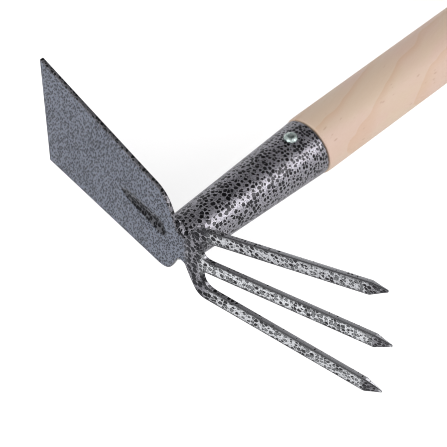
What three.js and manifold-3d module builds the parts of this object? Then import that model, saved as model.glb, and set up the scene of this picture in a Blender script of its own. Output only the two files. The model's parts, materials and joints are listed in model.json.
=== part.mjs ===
// Hand cultivator: a flat hoe blade and a three-tine fork stamped from one steel plate, welded to
// the narrow end of a rolled conical socket that is riveted to a round wooden handle.
//
// Millimetres. The tool is drawn in its own axes first: +X runs along the handle from the head to
// the butt, +Y points to the blade side, -Y to the fork side, and Z runs across the blade. The last
// section lays it on its side, resting on a blade corner, an outer tine and the butt, with +Z up.
import * as THREE from 'three';
import { mergeVertices } from 'three/addons/utils/BufferGeometryUtils.js';
import Module from 'manifold-3d';

const wasm = await Module();
wasm.setup();

// ---- Driving dimensions ----
const TOOL_LENGTH = 400;          // head to butt, along the handle
const GAP = 0.3;                  // clearance between pieces that touch
const ROUND_STEPS = 56;           // facets round the handle and the socket

const PLATE = 2.2;                // thickness of the head plate
const BLADE_RAKE = THREE.MathUtils.degToRad(8);
const FORK_RAKE = THREE.MathUtils.degToRad(14);
const BEND = { x: -3.0, y: -13.2, radius: 30 };   // where the two outer faces would meet
const EDGE_Y = 109.5;             // blade's cutting edge
const EDGE_HALF = 34.7;           // half the blade's width at the edge
const EDGE_CORNER = 0.8;          // rounding of the cutting edge's corners
const SHOULDER = { y: 7.5, half: 26.4, round: 8 };
const BLADE_WAIST = { y: -1.3, half: 9.2 };
const FORK_WAIST = { y: -6.4, half: 8.4 };
const WAIST_ROUND = 1.2;
const FORK_SHOULDER = { y: -15.3, half: 23.4, round: 4.5 };
const TINE_WIDTH = 8.4;
const TINE_SPLAY = 0.169;         // sideways run of an outer tine per millimetre of y
const CROTCH_Y = -17.8;
const CROTCH_ROUND = { even: 4.7, wide: 7.5, tight: 2.2 };   // the -Z crotch is cut unevenly
const MIDDLE_LEAN = 0.9;          // the middle tine's root sits this far towards -Z
const OUTER_TIP_Y = -109.4;
const MIDDLE_TIP_Y = -113;
const POINT_LENGTH = 7.5;
const TIP_HALF = 0.7;
const BEVEL_LENGTH = 8.5;         // the outer face slopes to the tip over this length
const BEVEL_OVERRUN = 2;          // the bevel would reach the back face this far past the tip

const RIB = { start: 7.5, end: 45.5, half: 5.5, depth: 2.1 };
const RIB_BLUNT = 0.15;           // share of the rib's length taken by its round lower end
const RIB_TAPER = 0.38;           // how much narrower the rib gets up the blade
const RIB_CLOSING = 5;            // the upper end closes over one part in this many
const RIDGE_GROWTH = 2.6;         // the ridge behind the rib is wider all round by this much

const SOCKET_LENGTH = 86.5;
const SOCKET_NARROW = 11.3;       // outer radius at x = 0
const SOCKET_MOUTH = 15;
const SOCKET_WALL = 1.8;
const SEAM_WIDTH = 2;
const SEAM_TURN = THREE.MathUtils.degToRad(-60);  // underside, away from the rivet
const SEAM_PROUD = 0.3;           // height of the seam's weld above the cone
const WELD_RADIUS = 1.6;
const WELD_OFFSET = 0.3;          // the neck weld's centre line lies this far outside the cone

const HANDLE_RADIUS = 15.6;
const TENON_START = 8;
const TENON_CHAMFER = { run: 2, drop: 1.5 };
const SHOULDER_EASE = [[0.15, 1.2], [0, 3]];   // drop below the handle's radius, run from the mouth
const BUTT_ROUND = 7;

const RIVET_X = 75.3;
const RIVET_SHANK = 2;
const RIVET_HEAD = { radius: 3.6, height: 2.2, skirt: 1 };

const WIDE = 60;                  // reaches past the tool in a cutting solid

const socketSlope = (SOCKET_MOUTH - SOCKET_NARROW) / SOCKET_LENGTH;
const socketRadius = (x) => SOCKET_NARROW + socketSlope * x;

// ---- Solid helpers ----
function toSolid(geometry) {
  const bare = geometry.index ? geometry.toNonIndexed() : geometry.clone();
  bare.deleteAttribute('normal');
  bare.deleteAttribute('uv');
  const merged = mergeVertices(bare, 1e-4);
  return new wasm.Manifold(new wasm.Mesh({
    numProp: 3,
    vertProperties: new Float32Array(merged.attributes.position.array),
    triVerts: new Uint32Array(merged.index.array),
  }));
}

function toGeometry(solid) {
  const mesh = solid.getMesh();
  const geometry = new THREE.BufferGeometry();
  geometry.setAttribute('position', new THREE.BufferAttribute(new Float32Array(mesh.vertProperties), 3));
  geometry.setIndex(new THREE.BufferAttribute(new Uint32Array(mesh.triVerts), 1));
  geometry.computeVertexNormals();
  return geometry;
}

// Turns a profile of [radius, x] points about the X axis.
function turned(profile, steps = ROUND_STEPS) {
  const points = profile.map(([radius, x]) => new THREE.Vector2(radius, x));
  return new THREE.LatheGeometry(points, steps).rotateZ(-Math.PI / 2);
}

// Extrudes a shape drawn in (x, y) symmetrically along Z.
function acrossTool(shape, halfWidth) {
  const options = { depth: 2 * halfWidth, bevelEnabled: false, curveSegments: 10 };
  return new THREE.ExtrudeGeometry(shape, options).translate(0, 0, -halfWidth);
}

// Extrudes a shape drawn in (y, z) along X.
function alongTool(shape, low, high) {
  const options = { depth: high - low, bevelEnabled: false, curveSegments: 6 };
  const swap = new THREE.Matrix4().makeBasis(
    new THREE.Vector3(0, 1, 0), new THREE.Vector3(0, 0, 1), new THREE.Vector3(1, 0, 0));
  return new THREE.ExtrudeGeometry(shape, options).translate(0, 0, low).applyMatrix4(swap);
}

// Closed outline through corners [a, b, cut]; a corner with a cut is rounded over that distance.
function roundedOutline(corners) {
  const shape = new THREE.Shape();
  corners.forEach(([a, b, cut = 0], index) => {
    const corner = new THREE.Vector2(a, b);
    const previous = new THREE.Vector2(...corners.at(index - 1));
    const next = new THREE.Vector2(...corners[(index + 1) % corners.length]);
    const before = corner.clone().add(previous.sub(corner).setLength(cut));
    const after = corner.clone().add(next.sub(corner).setLength(cut));
    if (index === 0) {
      shape.moveTo(before.x, before.y);
    } else {
      shape.lineTo(before.x, before.y);
    }
    if (cut > 0) {
      shape.quadraticCurveTo(a, b, after.x, after.y);
    }
  });
  return shape;
}

// ---- Head plate: blade, neck and fork in one bent blank ----
const bladeRun = new THREE.Vector2(Math.sin(BLADE_RAKE), Math.cos(BLADE_RAKE));
const forkRun = new THREE.Vector2(Math.sin(FORK_RAKE), -Math.cos(FORK_RAKE));
const bladeIn = new THREE.Vector2(Math.cos(BLADE_RAKE), -Math.sin(BLADE_RAKE));
const forkIn = new THREE.Vector2(Math.cos(FORK_RAKE), Math.sin(FORK_RAKE));
const bendPoint = new THREE.Vector2(BEND.x, BEND.y);
const bendReach = BEND.radius * Math.tan((BLADE_RAKE + FORK_RAKE) / 2);
const bendCentre = bendPoint.clone()
  .addScaledVector(bladeRun, bendReach)
  .addScaledVector(bladeIn, BEND.radius);

const SHEET_REACH = 150;

// The bent sheet seen from the side, between two depths measured inward from its outer face.
function bentSheet(outerDepth, innerDepth, halfWidth) {
  const at = (run, inward, depth) => bendPoint.clone()
    .addScaledVector(run, SHEET_REACH)
    .addScaledVector(inward, depth);
  const bladeAngle = Math.PI - BLADE_RAKE;
  const forkAngle = Math.PI + FORK_RAKE;
  const innerStart = at(bladeRun, bladeIn, innerDepth);
  const outerStart = at(bladeRun, bladeIn, outerDepth);
  const outerEnd = at(forkRun, forkIn, outerDepth);
  const innerEnd = at(forkRun, forkIn, innerDepth);
  const shape = new THREE.Shape();
  shape.moveTo(innerStart.x, innerStart.y);
  shape.lineTo(outerStart.x, outerStart.y);
  shape.absarc(bendCentre.x, bendCentre.y, BEND.radius - outerDepth, bladeAngle, forkAngle, false);
  shape.lineTo(outerEnd.x, outerEnd.y);
  shape.lineTo(innerEnd.x, innerEnd.y);
  shape.absarc(bendCentre.x, bendCentre.y, BEND.radius - innerDepth, forkAngle, bladeAngle, true);
  return toSolid(acrossTool(shape, halfWidth));
}

// The blank's outline seen along the handle, as [y, z, cut] corners of one half, drawn as +Z.
// The lean narrows the middle tine's root on that half and widens it on the other.
function blankHalf(lean, outerRound, middleRound) {
  const outerEdge = (y) => FORK_SHOULDER.half + TINE_SPLAY * (FORK_SHOULDER.y - y);
  const across = TINE_WIDTH * Math.hypot(1, TINE_SPLAY);
  const innerEdge = (y) => outerEdge(y) - across;
  const outerPoint = OUTER_TIP_Y + POINT_LENGTH;
  const tipCentre = outerEdge(OUTER_TIP_Y) - across / 2;
  const middle = TINE_WIDTH / 2;
  return [
    [EDGE_Y, EDGE_HALF, EDGE_CORNER],
    [SHOULDER.y, SHOULDER.half, SHOULDER.round],
    [BLADE_WAIST.y, BLADE_WAIST.half, WAIST_ROUND],
    [FORK_WAIST.y, FORK_WAIST.half, WAIST_ROUND],
    [FORK_SHOULDER.y, FORK_SHOULDER.half, FORK_SHOULDER.round],
    [outerPoint, outerEdge(outerPoint)],
    [OUTER_TIP_Y, tipCentre + TIP_HALF],
    [OUTER_TIP_Y, tipCentre - TIP_HALF],
    [outerPoint, innerEdge(outerPoint)],
    [CROTCH_Y, innerEdge(CROTCH_Y), outerRound],
    [CROTCH_Y, middle - lean, middleRound],
    [MIDDLE_TIP_Y + POINT_LENGTH, middle],
    [MIDDLE_TIP_Y, TIP_HALF],
  ];
}

function blankOutline() {
  const upper = blankHalf(MIDDLE_LEAN, CROTCH_ROUND.even, CROTCH_ROUND.even);
  const lower = blankHalf(-MIDDLE_LEAN, CROTCH_ROUND.wide, CROTCH_ROUND.tight);
  return roundedOutline([...upper, ...lower.map(([y, z, cut]) => [y, -z, cut]).reverse()]);
}

// Ground bevel on a tine's outer face, down to a thin tip.
function tipBevel(tipY, low, high) {
  const tip = (BEND.y - tipY) / Math.cos(FORK_RAKE);
  const above = -2 * PLATE;
  const point = (run, depth) => bendPoint.clone()
    .addScaledVector(forkRun, run)
    .addScaledVector(forkIn, depth);
  const start = point(tip - BEVEL_LENGTH, 0);
  const end = point(tip + BEVEL_OVERRUN, PLATE);
  const clear = point(tip + BEVEL_OVERRUN, above);
  const back = point(tip - BEVEL_LENGTH, above);
  const shape = new THREE.Shape([start, end, clear, back]);
  return toSolid(acrossTool(shape, (high - low) / 2).translate(0, 0, (high + low) / 2));
}

// Half-width of the pressed rib at a share t of its length, as a part of its greatest half-width.
function ribSwell(t) {
  const blunt = Math.sqrt(1 - (1 - Math.min(1, t / RIB_BLUNT)) ** 2);
  const closing = Math.min(1, (1 - t) * RIB_CLOSING) ** 0.6;
  return blunt * (1 - RIB_TAPER * t) * closing;
}

// Form of the pressed rib: widest near the neck, narrowing up the blade.
function ribForm(grow) {
  const length = RIB.end - RIB.start;
  const steps = 24;
  const profile = [[0, -grow]];
  for (let step = 1; step < steps; step += 1) {
    const t = step / steps;
    profile.push([RIB.half * ribSwell(t) + grow, t * length]);
  }
  profile.push([0, length + grow]);
  const points = profile.map(([radius, run]) => new THREE.Vector2(radius, run));
  const form = new THREE.LatheGeometry(points, 32);
  form.scale(RIB.depth / RIB.half, 1, 1);
  form.rotateZ(-BLADE_RAKE);
  const lift = (RIB.start - BEND.y) / Math.cos(BLADE_RAKE);
  const base = bendPoint.clone().addScaledVector(bladeRun, lift);
  return toSolid(form.translate(base.x, base.y, 0));
}

function headSolid() {
  const middleReach = 10;
  const outerReach = [20, 50];
  const blank = bentSheet(0, PLATE, WIDE).intersect(toSolid(alongTool(blankOutline(), -WIDE, WIDE)));
  const ridge = ribForm(RIDGE_GROWTH).intersect(bentSheet(PLATE / 2, BEND.radius - 1, WIDE));
  return blank
    .add(ridge)
    .subtract(ribForm(0))
    .subtract(tipBevel(MIDDLE_TIP_Y, -middleReach, middleReach))
    .subtract(tipBevel(OUTER_TIP_Y, outerReach[0], outerReach[1]))
    .subtract(tipBevel(OUTER_TIP_Y, -outerReach[1], -outerReach[0]));
}

// Everything that the socket and its weld must stay clear of on the head.
function headClearance() {
  return bentSheet(-WIDE, PLATE + GAP, WIDE).add(ribForm(RIDGE_GROWTH + GAP));
}

// ---- Socket, its seam and the neck weld ----
function socketProfile() {
  const low = -4;   // reaches into the plate, whose clearance then trims it
  const high = SOCKET_LENGTH;
  return [
    [socketRadius(low) - SOCKET_WALL, low],
    [socketRadius(low), low],
    [socketRadius(high), high],
    [socketRadius(high) - SOCKET_WALL, high],
    [socketRadius(low) - SOCKET_WALL, low],
  ];
}

// A strip along one generator of the cone; it is drawn on the +Y side, then turned to the seam.
function seamStrip(width, inset, proud, low, high) {
  const inner = (x) => socketRadius(x) - SOCKET_WALL - inset;
  const outer = (x) => socketRadius(x) + proud;
  const shape = new THREE.Shape([
    new THREE.Vector2(low, inner(low)),
    new THREE.Vector2(high, inner(high)),
    new THREE.Vector2(high, outer(high)),
    new THREE.Vector2(low, outer(low)),
  ]);
  return toSolid(acrossTool(shape, width / 2).rotateX(SEAM_TURN));
}

function rivetBore(radius) {
  const bore = new THREE.CylinderGeometry(radius, radius, WIDE, 24).rotateX(Math.PI / 2);
  return toSolid(bore.translate(RIVET_X, 0, 0));
}

function socketSolid() {
  return toSolid(turned(socketProfile()))
    .subtract(headClearance())
    .subtract(seamStrip(SEAM_WIDTH, 1, 1, -10, SOCKET_LENGTH + 1))
    .subtract(rivetBore(RIVET_SHANK + GAP));
}

function seamWeldSolid() {
  const width = SEAM_WIDTH - 2 * GAP;
  const start = WELD_RADIUS + 4;
  const end = SOCKET_LENGTH - 1.5;
  return seamStrip(width, -GAP, SEAM_PROUD, start, end);
}

// The socket's cone filled in and grown by the clearance, between two places along the handle.
function coneClearance(low, high) {
  return toSolid(turned([
    [0, low],
    [socketRadius(low) + GAP, low],
    [socketRadius(high) + GAP, high],
    [0, high],
  ]));
}

// Fillet bead round the socket's narrow end, lying in the plane of the blade.
function neckWeldSolid() {
  const ringRadius = SOCKET_NARROW + WELD_OFFSET;
  const ring = new THREE.TorusGeometry(ringRadius, WELD_RADIUS, 14, 48).rotateY(Math.PI / 2);
  const faceX = BEND.x - BEND.y * Math.tan(BLADE_RAKE) + PLATE / Math.cos(BLADE_RAKE);
  ring.rotateZ(-BLADE_RAKE);
  ring.translate(faceX, 0, 0);
  return toSolid(ring).subtract(headClearance()).subtract(coneClearance(-9, 40));
}

// ---- Handle and rivet ----
function handleSolid() {
  const tenon = (x) => socketRadius(x) - SOCKET_WALL - GAP;
  const mouth = SOCKET_LENGTH + GAP;
  const profile = [
    [0, TENON_START],
    [tenon(TENON_START) - TENON_CHAMFER.drop, TENON_START],
    [tenon(TENON_START + TENON_CHAMFER.run), TENON_START + TENON_CHAMFER.run],
    [tenon(mouth), mouth],
    [SOCKET_MOUTH - GAP, mouth],
    ...SHOULDER_EASE.map(([drop, run]) => [HANDLE_RADIUS - drop, mouth + run]),
  ];
  const roundSteps = 6;
  for (let step = 0; step <= roundSteps; step += 1) {
    const angle = (step / roundSteps) * Math.PI / 2;
    profile.push([
      HANDLE_RADIUS - BUTT_ROUND + BUTT_ROUND * Math.cos(angle),
      TOOL_LENGTH - BUTT_ROUND + BUTT_ROUND * Math.sin(angle),
    ]);
  }
  profile.push([0, TOOL_LENGTH]);
  return toSolid(turned(profile)).subtract(rivetBore(RIVET_SHANK + GAP));
}

function rivetSolid() {
  const seat = socketRadius(RIVET_X) - RIVET_HEAD.skirt;
  const steps = 7;
  const profile = [[0, 0], [RIVET_HEAD.radius, 0]];
  for (let step = 0; step < steps; step += 1) {
    const angle = (step / steps) * Math.PI / 2;
    profile.push([
      RIVET_HEAD.radius * Math.cos(angle),
      RIVET_HEAD.skirt + RIVET_HEAD.height * Math.sin(angle),
    ]);
  }
  profile.push([0, RIVET_HEAD.skirt + RIVET_HEAD.height]);
  const points = profile.map(([radius, height]) => new THREE.Vector2(radius, height));
  const head = new THREE.LatheGeometry(points, 28).rotateX(Math.PI / 2).translate(RIVET_X, 0, seat);
  const farHead = head.clone().rotateX(Math.PI);
  const clear = coneClearance(40, 110);
  const shankLength = 2 * (socketRadius(RIVET_X) + 1);
  const shank = new THREE.CylinderGeometry(RIVET_SHANK, RIVET_SHANK, shankLength, 24)
    .rotateX(Math.PI / 2)
    .translate(RIVET_X, 0, 0);
  return toSolid(head).add(toSolid(farHead)).subtract(clear).add(toSolid(shank));
}

// ---- Materials ----
const enamel = () => new THREE.MeshStandardMaterial({ color: 0x6f717a, roughness: 0.35, metalness: 0.55 });
const beech = () => new THREE.MeshStandardMaterial({ color: 0xd8bfa8, roughness: 0.6, metalness: 0 });
const zinc = () => new THREE.MeshStandardMaterial({ color: 0xc4ccca, roughness: 0.25, metalness: 1 });

// ---- Assembly ----
const tool = new THREE.Group();

function addPiece(name, solid, material) {
  const mesh = new THREE.Mesh(toGeometry(solid), material);
  mesh.name = name;
  tool.add(mesh);
}

addPiece('hoe_and_fork_head', headSolid(), enamel());
addPiece('socket', socketSolid(), enamel());
addPiece('socket_seam_weld', seamWeldSolid(), enamel());
addPiece('neck_weld', neckWeldSolid(), enamel());
addPiece('handle', handleSolid(), beech());
addPiece('rivet', rivetSolid(), zinc());

// ---- Rest pose: lying on a blade corner, an outer tine and the butt ----
const bladeCornerX = BEND.x + (EDGE_Y - BEND.y) * Math.tan(BLADE_RAKE);
const tineX = BEND.x + (BEND.y - OUTER_TIP_Y - POINT_LENGTH) * Math.tan(FORK_RAKE);
const tineHalf = FORK_SHOULDER.half + TINE_SPLAY * (FORK_SHOULDER.y - OUTER_TIP_Y - POINT_LENGTH);
const bladeRest = new THREE.Vector3(bladeCornerX, EDGE_Y, -EDGE_HALF);
const tineRest = new THREE.Vector3(tineX, OUTER_TIP_Y + POINT_LENGTH, -tineHalf);
const buttRest = new THREE.Vector3(TOOL_LENGTH - BUTT_ROUND, 0, -HANDLE_RADIUS);
const up = new THREE.Triangle(bladeRest, tineRest, buttRest).getNormal(new THREE.Vector3());
if (up.z < 0) {
  up.negate();
}
tool.quaternion.setFromUnitVectors(up, new THREE.Vector3(0, 0, 1));
tool.updateMatrixWorld(true);

const bounds = new THREE.Box3().setFromObject(tool, true);
const centre = bounds.getCenter(new THREE.Vector3());
tool.position.set(-centre.x, -centre.y, -bounds.min.z);

const group = new THREE.Group();
group.add(tool);

export default group;
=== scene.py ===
"""Hand cultivator: a hoe blade and a three-tine fork on one bent plate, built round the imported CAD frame."""

import json
import math
import random

import bmesh
import bpy
import numpy as np
from mathutils import Matrix, Vector
from mathutils.geometry import delaunay_2d_cdt


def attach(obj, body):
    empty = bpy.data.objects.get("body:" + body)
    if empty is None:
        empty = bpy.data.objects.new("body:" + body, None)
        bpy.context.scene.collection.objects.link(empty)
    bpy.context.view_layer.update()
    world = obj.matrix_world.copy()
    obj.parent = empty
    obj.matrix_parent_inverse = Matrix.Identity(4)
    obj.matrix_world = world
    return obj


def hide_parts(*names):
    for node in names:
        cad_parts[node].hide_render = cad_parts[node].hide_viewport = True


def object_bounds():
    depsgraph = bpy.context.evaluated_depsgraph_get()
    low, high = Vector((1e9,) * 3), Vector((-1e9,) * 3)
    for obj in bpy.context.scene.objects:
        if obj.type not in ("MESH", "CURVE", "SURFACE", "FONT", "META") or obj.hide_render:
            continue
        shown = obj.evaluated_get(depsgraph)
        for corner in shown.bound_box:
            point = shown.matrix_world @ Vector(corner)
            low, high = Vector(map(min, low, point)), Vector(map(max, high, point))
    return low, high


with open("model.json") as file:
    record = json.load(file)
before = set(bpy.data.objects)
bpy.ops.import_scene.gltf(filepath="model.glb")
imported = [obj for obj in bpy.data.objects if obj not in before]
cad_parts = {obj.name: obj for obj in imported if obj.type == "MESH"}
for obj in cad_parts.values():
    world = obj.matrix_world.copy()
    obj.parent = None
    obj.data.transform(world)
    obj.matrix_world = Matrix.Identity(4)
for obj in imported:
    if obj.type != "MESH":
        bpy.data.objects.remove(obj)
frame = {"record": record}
cad_low, cad_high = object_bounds()
random.seed(11)

# ---- Dimensions in millimetres, in the tool's own axes: +X along the handle, +Y to the blade, Z across ----
TOOL_LENGTH = 400
GAP = 0.32
PLATE = 2.2
BLADE_RAKE = math.radians(8)
FORK_RAKE = math.radians(14)
BEND_X, BEND_Y, BEND_RADIUS = -3.0, -13.2, 30
EDGE_Y, EDGE_HALF = 109.5, 34.7
SHOULDER_Y, SHOULDER_HALF, SHOULDER_ROUND = 7.5, 26.4, 8
BLADE_WAIST_Y, BLADE_WAIST_HALF = -1.3, 9.2
FORK_WAIST_Y, FORK_WAIST_HALF = -6.4, 8.4
FORK_SHOULDER_Y, FORK_SHOULDER_HALF, FORK_SHOULDER_ROUND = -15.3, 23.4, 4.5
TINE_WIDTH, TINE_SPLAY = 8.4, 0.169
CROTCH_Y, CROTCH_ROUND, CROTCH_WIDE, CROTCH_TIGHT = -17.8, 4.7, 7.5, 2.2
MIDDLE_LEAN = 0.9
OUTER_TIP_Y, MIDDLE_TIP_Y = -109.4, -113
POINT_LENGTH, TIP_HALF, BEVEL_LENGTH = 7.5, 0.7, 8.5
EDGE_CORNER, WAIST_ROUND, POINT_ROUND, TIP_ROUND = 0.8, 1.2, 0.25, 0.3
MIDDLE_TINE, OUTER_TINES = 8, 12      # |z| within the first is the middle tine, past the second an outer one
CREASE = 0.25                         # half the length over which the ground bevel's crease is eased
RIB_START, RIB_END, RIB_HALF, RIB_DEPTH = 7.5, 45.5, 5.5, 2.1
RIB_BLUNT, RIB_TAPER, RIB_CLOSING = 0.15, 0.38, 5
RIDGE_HEIGHT, RIDGE_MARGIN = 0.9, 1.2
SOCKET_LENGTH, SOCKET_NARROW, SOCKET_MOUTH, SOCKET_WALL = 86.5, 11.3, 15, 1.8
SEAM_TURN = math.radians(-60)
SEAM_HALF = 1.0
HANDLE_RADIUS, TENON_START, BUTT_ROUND = 15.55, 8.1, 7
RIVET_X, RIVET_RADIUS, RIVET_HEIGHT, RIVET_SHANK = 75.3, 3.55, 2.1, 1.95
BORE_CLEARANCE = 0.3

# ---- Steps of the head's mesh, in millimetres ----
RING_STEP = 1.1                       # between points of the plate's outline
EDGE_ROUND, EDGE_MARGIN = 0.42, 0.18  # rounding of the plate's edges, and the flat strip beside it
GRID_STEP, GRID_MARGIN = 1.45, 0.55
RIB_ROWS, RIB_ROW_STEPS = (1.0, 0.86, 0.6), 34
RIB_MIDDLE, RIB_ROW_PULL = 0.45, 0.35
RIB_GRID_ALONG, RIB_GRID_ACROSS = 0.8, 0.7

# ---- The enamel's flat pattern coordinates ----
ROOT_Y, ROOT_SIZE, SHRINK = -18, 1.22, 0.0052     # craters shrink from the fork's root to the tips
NECK_SIZE, NECK_SHRINK = 1.2, 0.0060              # and from the socket's neck to its mouth
EDGE_FALL = (0, 0.18, 0.35, 0.5, 0.65, 0.8, 2.0, 2.15, 2.3, 2.45, 2.6, 2.8)   # rows down the plate's edge
BORDER = 20                                       # marks the points where a face meets its edge
WALL_LEVEL, BACK_LEVEL = 4, 7                     # rows of the edge: outer rounding, wall, inner rounding

socket_slope = (SOCKET_MOUTH - SOCKET_NARROW) / SOCKET_LENGTH


def cone(x):
    """Outer radius of the socket at x."""
    return SOCKET_NARROW + socket_slope * x


def ramp(value, low, high):
    """0 below low, 1 above high, with a smooth rise between."""
    t = min(1.0, max(0.0, (value - low) / (high - low)))
    return t * t * (3 - 2 * t)


# ---- The tool's axes in the shared frame, from the two mounts on the record ----
def tool_matrix():
    """Places the tool's own axes, in millimetres, in the shared frame."""
    mounts = {mount["name"]: mount for mount in frame["record"]["mounts"]}
    butt, face = mounts["handle_butt"], mounts["blade_face"]
    along = Vector(butt["axis"]).normalized()
    face_axis = Vector(face["axis"])
    blade_side = (face_axis + math.cos(BLADE_RAKE) * along) / math.sin(BLADE_RAKE)
    across = along.cross(blade_side).normalized()
    blade_side = across.cross(along)
    origin = Vector(butt["pos_m"]) - along * (TOOL_LENGTH / 1000)
    turn = Matrix((along, blade_side, across)).transposed()
    return Matrix.Translation(origin) @ turn.to_4x4() @ Matrix.Scale(0.001, 4)


TOOL = tool_matrix()
TURN = TOOL.to_3x3() * 1000


# ---- Mesh helpers ----
def add_piece(name, points, faces, node, material, smooth_angle=35, attributes=None, lay=None):
    """A new piece from points in tool millimetres, on the root body, which stands for a CAD node."""
    mesh = bpy.data.meshes.new(name)
    mesh.from_pydata([TOOL @ Vector(point) for point in points], [], faces)
    for key, values in (attributes or {}).items():
        layer = mesh.attributes.new(key, "FLOAT", "POINT")
        layer.data.foreach_set("value", np.asarray(values, np.float32))
    work = bmesh.new()
    work.from_mesh(mesh)
    bmesh.ops.recalc_face_normals(work, faces=work.faces)
    work.to_mesh(mesh)
    work.free()
    if lay is not None:
        lay_paint(mesh, faces, lay)
    mesh.shade_smooth()
    mesh.set_sharp_from_angle(angle=math.radians(smooth_angle))
    mesh.materials.append(material)
    piece = bpy.data.objects.new(name, mesh)
    bpy.context.scene.collection.objects.link(piece)
    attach(piece, "root")
    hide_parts(node)
    return piece


def lay_paint(mesh, faces, lay):
    """Stores where the enamel's flat pattern lies, in millimetres, at each corner of each face."""
    corners = np.zeros((len(mesh.loops), 3), np.float32)
    for polygon, face, places in zip(mesh.polygons, faces, lay):
        known = dict(zip(face, places))
        for loop, vertex in zip(polygon.loop_indices, polygon.vertices):
            corners[loop, :2] = known[vertex]
    layer = mesh.attributes.new("lay", "FLOAT_VECTOR", "CORNER")
    layer.data.foreach_set("vector", corners.ravel() * 0.001)


def loft(sections, ring_closed):
    """Faces through equal closed sections; the run of sections closes on itself or is capped."""
    count, size = len(sections), len(sections[0])
    points = [point for section in sections for point in section]
    faces = []
    for i in range(count if ring_closed else count - 1):
        following = (i + 1) % count
        for j in range(size):
            k = (j + 1) % size
            faces.append((i * size + j, i * size + k, following * size + k, following * size + j))
    if not ring_closed:
        faces.append(tuple(range(size)))
        faces.append(tuple(range((count - 1) * size, count * size)))
    return points, faces


def ripple(seed, count=5):
    """A smooth periodic wobble of an angle, about -1 to 1."""
    chooser = random.Random(seed)
    waves = []
    for _ in range(count):
        waves.append((chooser.randint(2, 9), chooser.uniform(0, math.tau), chooser.uniform(0.4, 1)))
    total = sum(size for _, _, size in waves)

    def wobble(angle):
        return sum(size * math.sin(turns * angle + start) for turns, start, size in waves) / total

    return wobble


# ---- The bent plate: both faces as heights over the (y, z) plane ----
BEND_REACH = BEND_RADIUS * math.tan((BLADE_RAKE + FORK_RAKE) / 2)
CENTRE_X = BEND_X + math.sin(BLADE_RAKE) * BEND_REACH + math.cos(BLADE_RAKE) * BEND_RADIUS
CENTRE_Y = BEND_Y + math.cos(BLADE_RAKE) * BEND_REACH - math.sin(BLADE_RAKE) * BEND_RADIUS


def face_x(y, depth):
    """x of the sheet at y, at a depth under its outer face."""
    reach = BEND_RADIUS - depth
    if y > CENTRE_Y + reach * math.sin(BLADE_RAKE):
        return BEND_X + (y - BEND_Y) * math.tan(BLADE_RAKE) + depth / math.cos(BLADE_RAKE)
    if y < CENTRE_Y - reach * math.sin(FORK_RAKE):
        return BEND_X + (BEND_Y - y) * math.tan(FORK_RAKE) + depth / math.cos(FORK_RAKE)
    return CENTRE_X - math.sqrt(reach ** 2 - (y - CENTRE_Y) ** 2)


def outer_edge(y):
    return FORK_SHOULDER_HALF + TINE_SPLAY * (FORK_SHOULDER_Y - y)


def inner_edge(y):
    return outer_edge(y) - TINE_WIDTH * math.hypot(1, TINE_SPLAY)


def crease_line(tip_y):
    return tip_y + BEVEL_LENGTH * math.cos(FORK_RAKE)


def bevel_depth(y, z):
    """How far the ground bevel of a tine's tip lies under the outer face."""
    tip_y = MIDDLE_TIP_Y if abs(z) < OUTER_TINES else OUTER_TIP_Y
    into = (crease_line(tip_y) - y) / math.cos(FORK_RAKE)
    if y > -60 or into < -CREASE:
        return 0.0
    if into < CREASE:
        return PLATE / (BEVEL_LENGTH + 2) * (into + CREASE) ** 2 / (4 * CREASE)
    return PLATE / (BEVEL_LENGTH + 2) * into


def blank_half(lean, outer_round, middle_round):
    """Corners [y, z, cut] of half the blank, drawn as +Z."""
    outer_point = OUTER_TIP_Y + POINT_LENGTH
    middle_point = MIDDLE_TIP_Y + POINT_LENGTH
    tip_centre = outer_edge(OUTER_TIP_Y) - TINE_WIDTH * math.hypot(1, TINE_SPLAY) / 2
    middle = TINE_WIDTH / 2
    outer_crease = [crease_line(OUTER_TIP_Y) + side * CREASE for side in (1, 0, -1)]
    middle_crease = [crease_line(MIDDLE_TIP_Y) + side * CREASE for side in (1, 0, -1)]
    return [
        (EDGE_Y, EDGE_HALF, EDGE_CORNER),
        (SHOULDER_Y, SHOULDER_HALF, SHOULDER_ROUND),
        (BLADE_WAIST_Y, BLADE_WAIST_HALF, WAIST_ROUND),
        (FORK_WAIST_Y, FORK_WAIST_HALF, WAIST_ROUND),
        (FORK_SHOULDER_Y, FORK_SHOULDER_HALF, FORK_SHOULDER_ROUND),
        *[(y, outer_edge(y), 0) for y in outer_crease],
        (outer_point, outer_edge(outer_point), POINT_ROUND),
        (OUTER_TIP_Y, tip_centre + TIP_HALF, TIP_ROUND),
        (OUTER_TIP_Y, tip_centre - TIP_HALF, TIP_ROUND),
        (outer_point, inner_edge(outer_point), POINT_ROUND),
        *[(y, inner_edge(y), 0) for y in reversed(outer_crease)],
        (CROTCH_Y, inner_edge(CROTCH_Y), outer_round),
        (CROTCH_Y, middle - lean, middle_round),
        *[(y, middle, 0) for y in middle_crease],
        (middle_point, middle, POINT_ROUND),
        (MIDDLE_TIP_Y, TIP_HALF, TIP_ROUND),
    ]


def rounded_ring(corners, step):
    """Dense closed outline; a corner with a cut is rounded over that distance."""
    ring = []
    count = len(corners)
    for index, (a, b, cut) in enumerate(corners):
        corner = Vector((a, b))
        before = Vector(corners[index - 1][:2])
        after = Vector(corners[(index + 1) % count][:2])
        if cut:
            start = corner + (before - corner).normalized() * cut
            end = corner + (after - corner).normalized() * cut
            pieces = max(5, round(cut / 0.6))
            for part in range(pieces + 1):
                t = part / pieces
                ring.append(start * (1 - t) ** 2 + corner * 2 * t * (1 - t) + end * t * t)
        else:
            ring.append(corner)
    dense = []
    for index, point in enumerate(ring):
        following = ring[(index + 1) % len(ring)]
        pieces = max(1, math.ceil((following - point).length / step))
        dense += [point.lerp(following, part / pieces) for part in range(pieces)]
    return np.array([tuple(point) for point in dense])


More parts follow.
